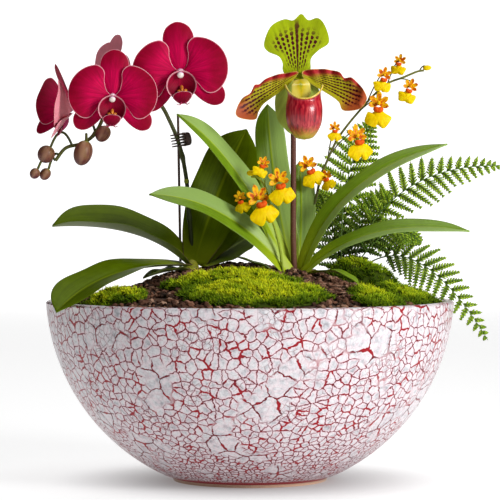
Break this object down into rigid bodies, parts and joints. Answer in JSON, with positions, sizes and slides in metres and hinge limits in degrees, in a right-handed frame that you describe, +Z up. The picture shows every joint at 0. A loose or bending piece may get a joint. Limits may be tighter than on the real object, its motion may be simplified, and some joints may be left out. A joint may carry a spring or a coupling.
{
  "type": "bonsai bowl planter",
  "caption": "Round glazed ceramic bowl on a foot ring, with drainage, potting mix and moss, planted with orchids and a fern; a stake slides in the mix and a small sprung clip opens.",
  "frame": {"origin": "centre of the foot on the ground; the recessed underside lies 2.5 mm above it", "axes": "+Z up, -Y towards the front seen in the picture, +X to the right"},
  "size_m": [0.4093, 0.35, 0.3988],
  "materials": {
    "bowl": "gloss",
    "net": "matte",
    "gravel": "matte",
    "mix": "matte",
    "moss": "matte",
    "bark": "matte",
    "roots": "matte",
    "dark_leaf": "satin",
    "leaf": "satin",
    "stem": "satin",
    "crimson_petal": "satin",
    "bud": "satin",
    "stake": "satin",
    "clip": "gloss",
    "steel": "satin",
    "lime_petal": "satin",
    "pouch": "gloss",
    "staminode": "gloss",
    "spray": "satin",
    "frond": "satin"
  },
  "bodies": {
    "planter": {"bowl": "bowl", "drain_mesh": "net", "drainage_gravel": "gravel", "potting_mix": "mix", "moss_front": "moss", "moss_middle": "moss", "moss_left": "moss", "moss_right_front": "moss", "moss_right": "moss", "moss_hill": "moss", "moss_back": "moss", "bark_chips": "bark", "moth_orchid_root_ball": "roots", "slipper_orchid_root_ball": "roots", "fern_root_ball": "roots", "moth_orchid_leaf_1": "dark_leaf", "moth_orchid_leaf_2": "dark_leaf", "moth_orchid_leaf_3": "dark_leaf", "moth_orchid_leaf_4": "dark_leaf", "moth_orchid_leaf_5": "dark_leaf", "moth_orchid_leaf_6": "dark_leaf", "moth_orchid_spike": "stem", "moth_orchid_flower_1": "crimson_petal", "moth_orchid_flower_2": "crimson_petal", "moth_orchid_flower_3": "crimson_petal", "moth_orchid_flower_4": "crimson_petal", "moth_orchid_bud_1": "bud", "moth_orchid_bud_2": "bud", "moth_orchid_bud_3": "bud", "moth_orchid_bud_4": "bud", "moth_orchid_bud_5": "bud", "clip_pin": "steel", "clip_spring": "steel", "slipper_orchid_leaf_1": "leaf", "slipper_orchid_leaf_2": "leaf", "slipper_orchid_leaf_3": "leaf", "slipper_orchid_leaf_4": "leaf", "slipper_orchid_leaf_5": "leaf", "slipper_orchid_leaf_6": "leaf", "slipper_orchid_leaf_7": "leaf", "slipper_orchid_leaf_8": "leaf", "slipper_orchid_scape": "stem", "slipper_orchid_dorsal_sepal": "lime_petal", "slipper_orchid_left_petal": "lime_petal", "slipper_orchid_right_petal": "lime_petal", "slipper_orchid_lower_sepal": "lime_petal", "slipper_orchid_pouch": "pouch", "slipper_orchid_staminode": "staminode", "dancing_orchid_right_spray": "spray", "dancing_orchid_left_spray": "spray", "fern_frond_1": "frond", "fern_frond_2": "frond", "fern_frond_3": "frond", "fern_frond_4": "frond", "fern_frond_5": "frond", "fern_frond_6": "frond", "fern_frond_7": "frond"},
    "stake": {"stake": "stake"},
    "clip_front": {"clip_jaw_front": "clip"},
    "clip_back": {"clip_jaw_back": "clip"}
  },
  "joints": [
    {"name": "stake_slide", "type": "slide", "parent": "planter", "child": "stake", "axis": [-0.0127, -0.1191, 0.9928], "range_m": [0, 0.09]},
    {"name": "clip_front_hinge", "type": "hinge", "parent": "planter", "child": "clip_front", "pos_m": [-0.0566, 0.0056, 0.29293], "axis": [-0.1564, 0, 0.9877], "range_deg": [0, 20], "stiffness_Nm_per_rad": 0.0005, "springref_deg": -20.05},
    {"name": "clip_back_hinge", "type": "hinge", "parent": "planter", "child": "clip_back", "pos_m": [-0.0566, 0.0056, 0.29293], "axis": [-0.1564, 0, 0.9877], "range_deg": [-20, 0]}
  ],
  "couplings": [
    {"joint": "clip_back_hinge", "follows": "clip_front_hinge", "ratio": -1}
  ]
}
